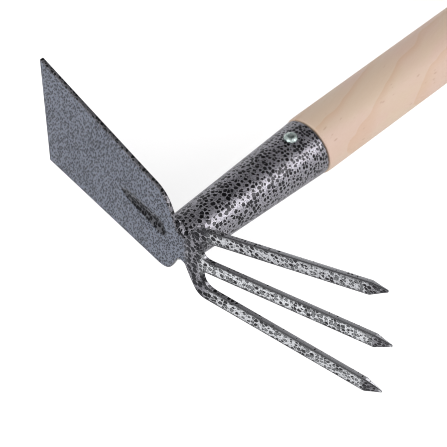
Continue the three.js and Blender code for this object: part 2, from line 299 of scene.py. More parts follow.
def inset(ring, distance):
    """Moves each point of a closed outline inward by its own distance."""
    def unit(vectors):
        return vectors / np.linalg.norm(vectors, axis=1)[:, None]
    coming = unit(ring - np.roll(ring, 1, 0))
    going = unit(np.roll(ring, -1, 0) - ring)
    area = np.sum(ring[:, 0] * np.roll(ring[:, 1], -1) - np.roll(ring[:, 0], -1) * ring[:, 1])
    side = 1 if area > 0 else -1
    left = side * np.column_stack((-coming[:, 1], coming[:, 0]))
    right = side * np.column_stack((-going[:, 1], going[:, 0]))
    middle = unit(left + right)
    reach = np.maximum(0.5, np.sum(middle * left, axis=1))
    return ring + middle * (np.asarray(distance) / reach)[:, None]


def inside(ring, points):
    """Which points lie inside a closed outline."""
    x, y = points[:, 0], points[:, 1]
    result = np.zeros(len(points), bool)
    for (ax, ay), (bx, by) in zip(ring, np.roll(ring, -1, 0)):
        crosses = (ay > y) != (by > y)
        with np.errstate(divide="ignore", invalid="ignore"):
            result ^= crosses & (x < (bx - ax) * (y - ay) / (by - ay) + ax)
    return result


def rib_half(t):
    """Half the rib's width at t along it, 0 at the neck end and 1 at the far end."""
    if not 0 < t < 1:
        return 0.0
    round_end = math.sqrt(1 - (1 - t / RIB_BLUNT) ** 2) if t < RIB_BLUNT else 1.0
    taper = 1 - RIB_TAPER * max(0.0, (t - RIB_BLUNT) / (1 - RIB_BLUNT))
    return RIB_HALF * round_end * taper * min(1.0, (1 - t) * RIB_CLOSING) ** 0.6


def rib_place(y):
    """Where y lies along the rib, as a share of its length."""
    lift = (y - BEND_Y) / math.cos(BLADE_RAKE)
    start = (RIB_START - BEND_Y) / math.cos(BLADE_RAKE)
    return (lift - start) / (RIB_END - RIB_START)


def groove(y, z):
    """Depth of the pressed rib under the blade's outer face."""
    half = rib_half(rib_place(y))
    if half <= abs(z):
        return 0.0
    t = rib_place(y)
    depth = RIB_DEPTH * min(1.0, 1.35 * (1 - t) ** 0.8) * ramp(t, -0.02, 0.1)
    return depth * (1 - abs(z / half) ** 3) ** 1.15


def ridge(y, z):
    """The rib's rounded back, standing proud of the handle side of the blade."""
    t = rib_place(y)
    stretched = (t + 0.05) / 1.1
    half = (rib_half(stretched) + RIDGE_MARGIN) if 0 < stretched < 1 else 0.0
    fade = min(1.0, max(0.0, stretched * 8)) * min(1.0, max(0.0, (1 - stretched) * 5))
    if half <= abs(z):
        return 0.0
    return RIDGE_HEIGHT * fade * (1 - (z / half) ** 2) ** 1.5


def head_lay(y, z, side):
    """Flat pattern coordinates on the head: the craters shrink from the root of the fork to its tips."""
    beyond = max(0.0, ROOT_Y - y)
    size = ROOT_SIZE - SHRINK * beyond
    along = max(y, ROOT_Y) / ROOT_SIZE - math.log(ROOT_SIZE / size) / SHRINK
    return along, z / size + 200 * side


UPPER_HALF = blank_half(MIDDLE_LEAN, CROTCH_ROUND, CROTCH_ROUND)
LOWER_HALF = blank_half(-MIDDLE_LEAN, CROTCH_WIDE, CROTCH_TIGHT)
PLATE_RING = rounded_ring(UPPER_HALF + [(y, -z, cut) for y, z, cut in reversed(LOWER_HALF)], RING_STEP)


def rib_outlines():
    """Closed outlines inside the rib, from its border inward, for dense rows on the groove's walls."""
    length = RIB_END - RIB_START
    outlines = []
    for share in RIB_ROWS:
        outline = []
        for side, first, last in ((1, 0.0, 1.0), (-1, 1.0, 0.0)):
            for t in np.linspace(first, last, RIB_ROW_STEPS)[1:-1]:
                pulled = RIB_MIDDLE + (t - RIB_MIDDLE) * (1 - (1 - share) * RIB_ROW_PULL)
                y = RIB_START + pulled * length * math.cos(BLADE_RAKE)
                outline.append((y, side * rib_half(t) * share))
        outlines.append(outline)
    return outlines


def face_grid(ring, margin):
    """Points inside the plate's outline on a triangular grid, with a finer square grid in the rib."""
    grid = []
    for row, y in enumerate(np.arange(-115, 112, GRID_STEP * 0.87)):
        for z in np.arange(-45, 45, GRID_STEP):
            grid.append((y, z + (row % 2) * GRID_STEP / 2))
    grid = np.array(grid)
    grid = grid[inside(inset(ring, margin + GRID_MARGIN), grid)]
    on_rib = np.array([rib_half(rib_place(y)) + 0.5 > abs(z) for y, z in grid])
    fine = []
    for y in np.arange(RIB_START, RIB_END + 1, RIB_GRID_ALONG):
        for z in np.arange(-RIB_HALF, RIB_HALF + 0.1, RIB_GRID_ACROSS):
            if abs(z) < 0.52 * rib_half(rib_place(y)):
                fine.append((y, z))
    return [tuple(point) for point in grid[~on_rib]] + fine


def head_mesh():
    """The bent plate: two faces on one flat triangulation, joined by rounded edges."""
    ring = PLATE_RING
    thickness = np.array([PLATE - bevel_depth(y, z) for y, z in ring])
    rounding = np.minimum(EDGE_ROUND, 0.4 * thickness)
    turns = [math.radians(angle) for angle in (0, 22, 45, 68, 90)]
    wall = [0.0] + [1 - math.cos(turn) for turn in turns[1:]]
    fall = [1 - math.sin(turn) for turn in turns]
    flat_inset = rounding + EDGE_MARGIN
    core = inset(ring, flat_inset)

    spots = [tuple(point) for point in core]
    edges = [(i, (i + 1) % len(core)) for i in range(len(core))]
    for outline in rib_outlines():
        first = len(spots)
        spots += outline
        edges += [(first + i, first + (i + 1) % len(outline)) for i in range(len(outline))]
    spots += face_grid(ring, flat_inset)
    flat, _, cells, sources, _, _ = delaunay_2d_cdt([Vector(s) for s in spots], edges, [], 1, 1e-5)

    place = {}
    for new, old in enumerate(sources):
        for source in old:
            place[source] = new
    points, finish = [], []
    for y, z in flat:
        points.append((face_x(y, bevel_depth(y, z) + groove(y, z)), y, z))
        finish.append((y, z, 0.0, -1))
    shift = len(flat)
    for y, z in flat:
        points.append((face_x(y, PLATE) + ridge(y, z), y, z))
        finish.append((y, z, 1.0, -1))
    faces = [tuple(cell) for cell in cells]
    faces += [tuple(index + shift for index in reversed(cell)) for cell in cells]

    rings = [[place[i] for i in range(len(ring))]]
    for vertex in rings[0]:
        finish[vertex] = (*finish[vertex][:3], BORDER)
    levels = [(wall[k], fall[k], True) for k in range(len(turns) - 1, -1, -1)]
    levels += [(wall[k], fall[k], False) for k in range(len(turns))]
    for level, (inward, down, outer) in enumerate(levels):
        loop = inset(ring, rounding * inward)
        row = []
        for (y, z), radius, thick in zip(loop, rounding, thickness):
            top = bevel_depth(y, z)
            depth = top + radius * down if outer else PLATE - radius * down
            row.append(len(points))
            points.append((face_x(y, depth), y, z))
            finish.append((y, z, 0.5, level))
        rings.append(row)
    rings.append([place[i] + shift for i in range(len(ring))])
    lay = [[head_lay(*finish[v][:3]) for v in face] for face in faces]
    steps = np.linalg.norm(np.roll(ring, -1, 0) - ring, axis=1)
    along = np.concatenate(([0.0], np.cumsum(steps)))
    for level, (upper, lower) in enumerate(zip(rings, rings[1:])):
        high, low = 500 + EDGE_FALL[level], 500 + EDGE_FALL[level + 1]
        for i in range(len(ring)):
            k = (i + 1) % len(ring)
            faces.append((upper[i], upper[k], lower[k], lower[i]))
            lay.append([(along[i], high), (along[i + 1], high), (along[i + 1], low), (along[i], low)])
    return points, faces, finish, lay


def edge_finish(y, level):
    """Painted light, painted shade and the painted edge lines on the tines' edges: a painted dark line of
    shade beside the face, then an even grey wall painted lighter towards the tips, with a faint painted
    highlight on the back rounding.
    """
    open_wall = ramp(-y, 22, 70)
    if level < WALL_LEVEL:
        cut = 1.2
    elif level == WALL_LEVEL:
        cut = 0.5
    elif level < BACK_LEVEL:
        cut = 0.6 * (1 - open_wall)
    else:
        cut = -0.35 * open_wall
    return 0.25 + 0.3 * open_wall, -0.4 - 2.6 * open_wall, cut


def face_finish(y, z, rib, edge, level):
    """Painted light, painted shade and the painted edge lines on the faces, and on the edges of the blade and
    the neck.
    """
    middle, upper = abs(z) < MIDDLE_TINE, z > OUTER_TINES
    root = ramp(-y, 15, 19) if middle else ramp(-y, 18, 25)
    tip = MIDDLE_TIP_Y if middle else OUTER_TIP_Y
    ground = ramp(tip + BEVEL_LENGTH - y, -0.2, 0.6)
    worn = 0.0 if upper else ramp(tip + 1.6 - y, 0, 0.8)
    # Painted light: the middle tine's face is painted brightest, the lower tine less and the upper tine least,
    # dimmed on the ground bevel's facet and before the fork's root; worn tips stay bright as wear.
    painted_tine_light = 1.0 if middle else 0.66 if upper else 0.86
    painted_light_and_wear = max(worn, painted_tine_light * root * (1 - (0.6 if upper else 0.95) * ground))
    # Painted shade: heavy in the pressed rib and heavier on its -Z half, on the ground bevel, and across the
    # bend before the fork's root; worn tips are lightened as wear.
    if worn:
        painted_shade_and_wear = -2.0 * worn
    elif rib:
        painted_shade_and_wear = 0.7 if z > 0 else 1.4
    else:
        painted_shade_and_wear = max(0.5 * ground, (1 - root) * ramp(-y, 6.5, 10))
    # Painted shade: a dark line along the fork face's border beside its edges, fading along the tines, and on
    # the ground bevel; the edges of the blade and the neck are painted dark.
    border = 1.1 * ramp(-y, 12, 20) * (1 - 0.3 * ramp(-y, 30, 90)) if level == BORDER else 0.0
    cut = 0.55 if edge else max(border, 0.3 * ground) * (1 - worn)
    return painted_light_and_wear, painted_shade_and_wear, cut


def head_finish(finish):
    """Per point: the pattern's fineness, painted light, painted shade, the painted edge lines, and the rib."""
    rows = []
    for y, z, side, level in finish:
        edge = 0 <= level < BORDER
        rib = side == 0 and groove(y, z) > 0.02
        fine = 0.0 if edge else 0.5 if rib else ramp(y, -9, -5)
        if edge and y < -19:
            painted_light_and_wear, painted_shade_and_wear, cut = edge_finish(y, level)
        else:
            painted_light_and_wear, painted_shade_and_wear, cut = face_finish(y, z, rib, edge, level)
        rows.append((fine, painted_light_and_wear, painted_shade_and_wear, cut, 1.0 if rib else 0.0))
    names = ("fine", "painted_light_and_wear", "painted_shade_and_wear", "edge_shade_and_highlight", "pressed")
    return dict(zip(names, (list(column) for column in zip(*rows))))


def wrap_lay(points, faces):
    """Pattern coordinates for a round piece, along and round it."""
    far = SEAM_TURN + math.pi
    lay = []
    for face in faces:
        places = []
        first = None
        for x, y, z in (points[vertex] for vertex in face):
            turn = math.remainder(math.atan2(z, y) - far, math.tau)
            first = turn if first is None else first
            turn = first + math.remainder(turn - first, math.tau)
            profile = x - (math.hypot(y, z) - cone(x))
            size = NECK_SIZE - NECK_SHRINK * profile
            along = math.log(NECK_SIZE / size) / NECK_SHRINK
            places.append((along, 800 + 13 * turn / size))
        lay.append(places)
    return lay


# ---- Socket, rolled from sheet into a cone ----
def plate_back(y):
    """x just behind the plate's handle side."""
    return face_x(y, PLATE) + GAP


def socket_section(angle, wobble):
    """Closed outline of the socket wall at one angle round the tool's axis."""
    def at(x, radius):
        radius -= 0.05 * (1 + wobble(angle)) * ramp(x, 0, 50)
        return (x, radius * math.cos(angle), radius * math.sin(angle))
    start = plate_back(cone(-2) * math.cos(angle)) + 0.02
    inner_start = plate_back((cone(-2) - SOCKET_WALL) * math.cos(angle)) + 0.02
    lip = 0.45
    outline = [at(start, cone(start) - 0.15)]
    steps = 60
    for part in range(steps + 1):
        x = start + 0.3 + (SOCKET_LENGTH - lip - start - 0.3) * part / steps
        outline.append(at(x, cone(x)))
    for turn in (25, 50, 75):
        angle_in = math.radians(turn)
        x = SOCKET_LENGTH - lip + lip * math.sin(angle_in)
        outline.append(at(x, cone(SOCKET_LENGTH) - lip * (1 - math.cos(angle_in))))
    outline.append(at(SOCKET_LENGTH, cone(SOCKET_LENGTH) - lip))
    outline.append(at(SOCKET_LENGTH, cone(SOCKET_LENGTH) - SOCKET_WALL + 0.25))
    for part in range(9):
        x = SOCKET_LENGTH - 0.25 + (inner_start - SOCKET_LENGTH + 0.25) * part / 8
        outline.append(at(x, cone(x) - SOCKET_WALL))
    return outline


def socket_mesh():
    """The rolled sheet, from one lip of its seam round to the other."""
    wobble = ripple(4)
    half = SEAM_HALF / SOCKET_MOUTH
    steps = 190
    sections = []
    for part in range(steps + 1):
        angle = SEAM_TURN + half + (math.tau - 2 * half) * part / steps
        sections.append(socket_section(angle, wobble))
    return loft(sections, False)


def seam_bead_mesh():
    """A run of weld along the rolled seam, with the ripples left by each dab of the electrode."""
    sections = []
    low, high, steps = 6, 84.8, 150
    for part in range(steps + 1):
        x = low + (high - low) * part / steps
        swell = 0.5 + 0.5 * math.cos(x * math.tau / 1.9)
        taper = min(1.0, (part + 1) / 5, (steps + 1 - part) / 5)
        half = SEAM_HALF - GAP
        crown = (0.16 + 0.12 * swell) * taper
        base, side = cone(x) - SOCKET_WALL + 0.3, cone(x) - 0.1
        section = [(half, base), (half, side)]
        for turn in (30, 60, 90, 120, 150):
            swing = math.radians(turn)
            section.append((half * math.cos(swing), side + crown * math.sin(swing)))
        section += [(-half, side), (-half, base)]
        row = []
        for across, radius in section:
            y = radius * math.cos(SEAM_TURN) - across * math.sin(SEAM_TURN)
            z = radius * math.sin(SEAM_TURN) + across * math.cos(SEAM_TURN)
            row.append((x, y, z))
        sections.append(row)
    return loft(sections, False)


def plate_reach(angle):
    """How far the plate's outline lies from the tool's axis along a ray; the outline's nearest crossing."""
    way = np.array((math.cos(angle), math.sin(angle)))
    start, step = PLATE_RING, np.roll(PLATE_RING, -1, 0) - PLATE_RING
    turn = way[0] * step[:, 1] - way[1] * step[:, 0]
    turn[np.abs(turn) < 1e-9] = 1e-9
    reach = (start[:, 0] * step[:, 1] - start[:, 1] * step[:, 0]) / turn
    share = (start[:, 0] * way[1] - start[:, 1] * way[0]) / turn
    hits = reach[(share >= 0) & (share <= 1) & (reach > 0)]
    return hits.min()


def neck_bead_mesh():
    """The weld between the socket's narrow end and the plate, which wraps forward round the plate's waist."""
    wobble, beat = ripple(9), ripple(13, 7)
    sections = []
    steps = 260
    for part in range(steps):
        angle = math.tau * part / steps
        ray_y, ray_z = math.cos(angle), math.sin(angle)
        throat = 1.5 + 0.18 * wobble(angle) + 0.1 * math.sin(angle * 34 + 2 * beat(angle))
        corner = cone(0) + GAP
        base = plate_back(corner * ray_y)
        start = min(corner + throat, plate_reach(angle) + GAP)
        wrapped = ramp(corner + throat - start, 0, 1.2)
        inner = base + 0.02 - 0.3 * ramp(corner + 0.35 - start, 0, 0.3)
        front = plate_back(start * ray_y) + 0.02 - wrapped * (GAP + PLATE * 0.55)
        section = [(inner, corner + 0.02), (max(inner, front) - 0.001, start)]
        for share in (0, 0.15, 0.32, 0.5, 0.68, 0.85, 1):
            swing = share * math.pi / 2
            bulge = 0.62 + 0.38 * (math.cos(swing) ** 4 + math.sin(swing) ** 4)
            flat = throat * bulge
            fillet_x = base + 0.02 + flat * math.sin(swing)
            fillet_r = corner + 0.02 + flat * math.cos(swing) + socket_slope * flat * math.sin(swing)
            nose_x = front + (base + throat - front) * (1 - math.cos(share * math.pi)) / 2
            nose_r = start + (corner + 0.06 - start) * share
            nose_r += 1.5 * throat * 0.55 * math.sin(share * math.pi) ** 0.8
            x = fillet_x + (nose_x - fillet_x) * wrapped
            section.append((x, fillet_r + (nose_r - fillet_r) * wrapped))
        sections.append([(x, radius * ray_y, radius * ray_z) for x, radius in section])
    points, faces = loft(sections, True)
    return points, faces, strip_lay(sections, 13 * math.tau / steps)


def strip_lay(sections, step):
    """Pattern coordinates on a lofted ring: round each section, and a step from one section to the next."""
    size = len(sections[0])
    ring = [Vector(point) for point in sections[len(sections) // 4]]
    reach = [0.0]
    for j in range(size):
        reach.append(reach[-1] + (ring[(j + 1) % size] - ring[j]).length)
    lay = []
    for i in range(len(sections)):
        for j in range(size):
            low, high = 1200 + step * i, 1200 + step * (i + 1)
            lay.append([(reach[j], low), (reach[j + 1], low), (reach[j + 1], high), (reach[j], high)])
    return lay


# ---- Handle and rivet ----
def spun(profile, steps, wobble=None):
    """Turns (x, radius) points about the tool's axis, closed at both ends by a point."""
    points, faces = [(profile[0][0], 0, 0), (profile[-1][0], 0, 0)], []
    rows = profile[1:-1]
    for x, radius in rows:
        for part in range(steps):
            angle = math.tau * part / steps
            size = radius * (wobble(x, angle) if wobble else 1)
            points.append((x, size * math.cos(angle), size * math.sin(angle)))
    for row in range(len(rows) - 1):
        for part in range(steps):
            a = 2 + row * steps + part
            b = 2 + row * steps + (part + 1) % steps
            faces.append((a, b, b + steps, a + steps))
    last = 2 + (len(rows) - 1) * steps
    for part in range(steps):
        following = (part + 1) % steps
        faces.append((0, 2 + following, 2 + part))
        faces.append((1, last + part, last + following))
    return points, faces


def handle_mesh():
    """The turned handle: tenon, shoulder at the socket's mouth, long body and rounded butt."""
    mouth = SOCKET_LENGTH + GAP

    def tenon(x):
        return cone(x) - SOCKET_WALL - 0.42

    profile = [(TENON_START, 0), (TENON_START, tenon(TENON_START) - 1.5)]
    profile += [(x, tenon(x)) for x in (TENON_START + 1.6, 30, 50, 70, mouth - 0.3, mouth)]
    shoulder = mouth + 0.4
    profile += [(shoulder, tenon(mouth) + 0.02), (shoulder + 0.02, 14.7), (shoulder + 0.2, 15.05)]
    profile += [(shoulder + 0.6, 15.32), (shoulder + 1.4, 15.48), (mouth + 4, HANDLE_RADIUS)]
    body = 56
    start, end = mouth + 9, TOOL_LENGTH - BUTT_ROUND
    profile += [(start + (end - start) * part / body, HANDLE_RADIUS) for part in range(body)]
    for part in range(10):
        turn = math.radians(10 * part)
        drop = BUTT_ROUND * (1 - math.cos(turn))
        profile.append((end + BUTT_ROUND * math.sin(turn), HANDLE_RADIUS - drop))
    butt = TOOL_LENGTH - 0.01
    profile += [(butt, HANDLE_RADIUS - BUTT_ROUND - 0.1), (butt, 4), (butt, 0)]
    wave = ripple(21)

    def wobble(x, angle):
        drift = 0.5 + 0.25 * math.sin(x / 31) + 0.25 * wave(angle + x / 260)
        return 1 - 0.0028 * ramp(x, mouth + 4, mouth + 30) * drift

    return spun(profile, 128, wobble)


def rivet_mesh():
    """One rivet through socket and handle, with the same domed head on both sides."""
    steps = 48
    surface = cone(RIVET_X)
    rim = surface + 0.15

    def seat(across_x, across_y):
        radius = cone(RIVET_X + across_x)
        return math.sqrt(radius ** 2 - across_y ** 2) + GAP

    rows = []
    for turn in (80, 68, 56, 45, 34, 24, 14, 6):
        swing = math.radians(turn)
        flat = 0.93 + 0.07 * math.cos(swing)
        height = RIVET_HEIGHT * math.sin(swing) ** 1.15
        rows.append((RIVET_RADIUS * math.cos(swing) * flat, rim + height, False))
    rows.append((RIVET_RADIUS, surface + 0.12, False))
    rows.append((RIVET_RADIUS * 0.97, 0, True))
    rows.append((RIVET_SHANK, 0, True))
    crown = rim + RIVET_HEIGHT
    points, faces = [(RIVET_X, 0, crown), (RIVET_X, 0, -crown)], []
    levels = [(radius, height, seated, 1) for radius, height, seated in rows]
    levels += [(radius, height, seated, -1) for radius, height, seated in reversed(rows)]
    for radius, height, seated, side in levels:
        for part in range(steps):
            angle = math.tau * part / steps
            x, y = radius * math.cos(angle), radius * math.sin(angle)
            z = seat(x, y) if seated else height
            if radius == RIVET_RADIUS and not seated:
                z = max(z - 0.25, seat(x, y) + 0.05)
            points.append((RIVET_X + x, y, side * z))
    for row in range(len(levels) - 1):
        for part in range(steps):
            a = 2 + row * steps + part
            b = 2 + row * steps + (part + 1) % steps
            faces.append((a, b, b + steps, a + steps))
    last = 2 + (len(levels) - 1) * steps
    for part in range(steps):
        following = (part + 1) % steps
        faces.append((0, 2 + following, 2 + part))
        faces.append((1, last + part, last + following))
    return points, faces


def drill(piece, radius):
    """Cuts the rivet's hole right through a piece."""
    steps, reach = 40, 30
    ends = []
    for z in (-reach, reach):
        angles = [math.tau * part / steps for part in range(steps)]
        ends.append([(RIVET_X + radius * math.cos(angle), radius * math.sin(angle), z) for angle in angles])
    points, faces = loft(ends, False)
    mesh = bpy.data.meshes.new("cutter")
    mesh.from_pydata([TOOL @ Vector(point) for point in points], [], faces)
    work = bmesh.new()
    work.from_mesh(mesh)
    bmesh.ops.recalc_face_normals(work, faces=work.faces)
    work.to_mesh(mesh)
    work.free()
    cutter = bpy.data.objects.new("cutter", mesh)
    bpy.context.scene.collection.objects.link(cutter)
    cut = piece.modifiers.new("hole", "BOOLEAN")
    cut.object, cut.operation, cut.solver = cutter, "DIFFERENCE", "EXACT"
    graph = bpy.context.evaluated_depsgraph_get()
    result = bpy.data.meshes.new_from_object(piece.evaluated_get(graph))
    piece.modifiers.clear()
    old, piece.data = piece.data, result
    bpy.data.meshes.remove(old)
    bpy.data.objects.remove(cutter)


# ---- Materials ----
class Nodes:
    """Short calls for making and linking shader nodes."""

    def __init__(self, name):
        self.material = bpy.data.materials.new(name)
        self.material.use_nodes = True
        self.tree = self.material.node_tree
        self.shader = self.tree.nodes["Principled BSDF"]
        self.coords = self.tree.nodes.new("ShaderNodeTexCoord").outputs["Object"]

    def make(self, kind, inputs=None, **settings):
        node = self.tree.nodes.new(kind)
        for key, value in settings.items():
            setattr(node, key, value)
        for key, value in (inputs or {}).items():
            self.put(node.inputs[key], value)
        return node

    def put(self, socket, value):
        if isinstance(value, bpy.types.NodeSocket):
            self.tree.links.new(value, socket)
        else:
            socket.default_value = value

    def math(self, operation, *values):
        return self.make("ShaderNodeMath", dict(enumerate(values)), operation=operation).outputs[0]

    def smooth(self, value, low, high, start=0.0, end=1.0):
        """Smooth step of a value between two marks, from start to end."""
        inputs = {"Value": value, "From Min": low, "From Max": high, "To Min": start, "To Max": end}
        return self.make("ShaderNodeMapRange", inputs, interpolation_type="SMOOTHSTEP").outputs[0]

    def noise(self, vector, scale, detail=2.0, rough=0.5):
        inputs = {"Vector": vector, "Scale": scale, "Detail": detail, "Roughness": rough}
        return self.make("ShaderNodeTexNoise", inputs)

    def cells(self, vector, scale, feature="F1", dimensions="3D", randomness=1.0):
        inputs = {"Vector": vector, "Scale": scale, "Randomness": randomness}
        return self.make("ShaderNodeTexVoronoi", inputs, feature=feature, voronoi_dimensions=dimensions)

    def mapped(self, vector, kind="POINT", **inputs):
        """The vector turned and scaled."""
        inputs["Vector"] = vector
        return self.make("ShaderNodeMapping", inputs, vector_type=kind).outputs[0]

    def mix(self, share, first, second):
        node = self.make("ShaderNodeMix", data_type="RGBA")
        self.put(node.inputs[0], share)
        self.put(node.inputs[6], first)
        self.put(node.inputs[7], second)
        return node.outputs[2]

    def attribute(self, name, output="Fac"):
        node = self.make("ShaderNodeAttribute", attribute_name=name, attribute_type="GEOMETRY")
        return node.outputs[output]

    def wander(self, vector, scale, amount):
        """The vector pushed about by noise, so that a pattern's outlines come out irregular."""
        kind = "ShaderNodeVectorMath"
        push = self.noise(vector, scale, 2.0).outputs["Color"]
        centred = self.make(kind, {0: push, 1: (0.5, 0.5, 0.5)}, operation="SUBTRACT").outputs[0]
        scaled = self.make(kind, {0: centred, "Scale": amount}, operation="SCALE").outputs[0]
        return self.make(kind, {0: vector, 1: scaled}, operation="ADD").outputs[0]

    def finish(self, **sockets):
        for key, value in sockets.items():
            self.put(self.shader.inputs[key.replace("_", " ")], value)
        return self.material


def spots(nodes, vector, scale, low, high, edge):
    """Dark blobs with a random size in each cell, some cells with none."""
    cells = nodes.cells(vector, scale)
    pick = nodes.make("ShaderNodeSeparateColor", {0: cells.outputs["Color"]}).outputs[0]
    size = nodes.smooth(pick, 0.0, 1.0, low, high)
    lead = nodes.math("SUBTRACT", size, cells.outputs["Distance"])
    return nodes.smooth(lead, -edge, edge)


def craters(n, vector, scale, smallest, largest, grow):
    """Round craters, one to a cell of a drawn network: a mask, a random number each, and the depth inside."""
    cells = n.cells(vector, scale, dimensions="2D", randomness=0.82)
    border = n.cells(vector, scale, "DISTANCE_TO_EDGE", "2D", randomness=0.82).outputs["Distance"]
    picks = n.make("ShaderNodeSeparateColor", {0: cells.outputs["Color"]})
    radius = n.math("ADD", n.smooth(picks.outputs[0], 0.0, 0.8, smallest, largest), grow)
    round_lead = n.math("SUBTRACT", radius, cells.outputs["Distance"])
    border_lead = n.math("SUBTRACT", border, n.math("MULTIPLY_ADD", grow, -0.4, 0.055))
    lead = n.math("MINIMUM", round_lead, border_lead)
    return n.smooth(lead, -0.035, 0.045), picks.outputs[1], lead


def hammered_enamel():
    """Hammer-finish enamel: silver flake drawn into a network round near-black craters, under gloss."""
    n = Nodes("hammered_enamel")
    fine, painted_light_and_wear, painted_shade_and_wear = n.attribute("fine"), n.attribute("painted_light_and_wear"), n.attribute("painted_shade_and_wear")
    cut, pressed = n.attribute("edge_shade_and_highlight"), n.attribute("pressed")
    lay = n.attribute("lay", "Vector")

    # Large craters and small specks on the socket, the fork and the edges; they grow where painted shade is
    # laid on.
    drift = n.smooth(n.noise(n.coords, 130, 2.0).outputs["Fac"], 0.35, 0.65, -0.05, 0.06)
    grow = n.math("MULTIPLY_ADD", painted_shade_and_wear, 0.11, n.math("MULTIPLY_ADD", painted_light_and_wear, 0.015, drift))
    loose = n.wander(n.wander(lay, 300, 0.0012), 1100, 0.0008)
    blobs, tone, lead = craters(n, loose, 415, 0.25, 0.46, grow)
    specks, _, _ = craters(n, loose, 1000, 0.10, 0.42, grow)
    dark = n.math("MAXIMUM", blobs, n.math("MULTIPLY", specks, 0.62))

    # The silver network between them: lit and shaded copies of one silver picked by the painted light, flakes,
    # a light rim round each crater, and painted shade dulling it.
    silver = n.mix(painted_light_and_wear, (0.27, 0.265, 0.293, 1), (0.70, 0.72, 0.74, 1))
    flake = n.smooth(n.noise(n.coords, 2600, 1.0).outputs["Fac"], 0.35, 0.7, 0.0, 0.4)
    silver = n.mix(flake, silver, (0.10, 0.10, 0.11, 1))
    rim = n.smooth(n.math("ABSOLUTE", n.math("ADD", lead, 0.06)), 0.05, 0.0)
    silver = n.mix(n.math("MULTIPLY", rim, 0.45), silver, (0.60, 0.59, 0.62, 1))
    silver = n.mix(n.math("MULTIPLY", painted_shade_and_wear, 0.12), silver, (0.04, 0.04, 0.045, 1))

    # The craters: black, with a lighter filling in the middle of some, lighter still where painted light is
    # laid on.
    centre = n.math("MULTIPLY", n.smooth(lead, 0.08, 0.22), n.smooth(tone, 0.35, 0.6))
    filling = n.mix(painted_light_and_wear, (0.018, 0.018, 0.021, 1), (0.22, 0.23, 0.24, 1))
    crater = n.mix(centre, (0.004, 0.004, 0.005, 1), filling)
    coarse = n.mix(dark, silver, crater)

    # The blade's finer, evener pattern, drawn out along the run of the paint, on a darker bluish grey that is
    # a painted reflection of the dim surroundings the flat face mirrors, deepened by painted shade.
    drawn = n.mapped(lay, "TEXTURE", Rotation=(0, 0, -0.985), Scale=(1.5, 0.95, 1))
    fine_dark, _, _ = craters(n, n.wander(drawn, 1000, 0.0010), 820, 0.24, 0.48, 0.0)
    cloud = n.smooth(n.noise(n.coords, 60, 2.0).outputs["Fac"], 0.3, 0.7)
    pale = n.mix(cloud, (0.185, 0.205, 0.25, 1), (0.16, 0.178, 0.218, 1))
    pale = n.mix(n.math("MULTIPLY", painted_shade_and_wear, 0.55), pale, (0.03, 0.03, 0.035, 1))
    even = n.mix(n.math("MULTIPLY", fine_dark, 0.9), pale, (0.010, 0.011, 0.016, 1))
    colour = n.mix(fine, coarse, even)

    # Painted shade over the pressed rib, heavier on its -Z half, then the painted dark line and painted
    # highlight along the cut edges.
    rib_dark, _, _ = craters(n, n.wander(lay, 900, 0.0008), 600, 0.32, 0.54, 0.03)
    rib_net = n.mix(n.math("MULTIPLY", painted_shade_and_wear, 0.55), (0.25, 0.26, 0.28, 1), (0.03, 0.03, 0.034, 1))
    colour = n.mix(pressed, colour, n.mix(rib_dark, rib_net, (0.003, 0.003, 0.004, 1)))
    colour = n.mix(n.math("MULTIPLY", cut, 0.8), colour, (0.02, 0.02, 0.022, 1))
    colour = n.mix(n.math("MULTIPLY", cut, -0.9), colour, (0.62, 0.64, 0.66, 1))

    swells = n.math("MULTIPLY", n.noise(n.coords, 240, 2.0).outputs["Fac"], 0.7)
    relief = n.math("MULTIPLY_ADD", blobs, -1.0, swells)
    bump = n.make("ShaderNodeBump", {"Height": relief, "Strength": 0.6, "Distance": 0.00012}).outputs[0]
    coat = n.math("MULTIPLY", n.smooth(fine, 0.0, 1.0, 0.3, 0.1), n.smooth(painted_shade_and_wear, 0.0, 1.0, 1.0, 0.25))
    return n.finish(Base_Color=colour, Metallic=0.8, Roughness=n.smooth(dark, 0.0, 1.0, 0.42, 0.3),
                    Specular_IOR_Level=0.3, Specular_Tint=(0.6, 0.6, 0.63, 1), Normal=bump,
                    Coat_Weight=coat, Coat_Roughness=0.1, Coat_IOR=1.5, Coat_Normal=bump)


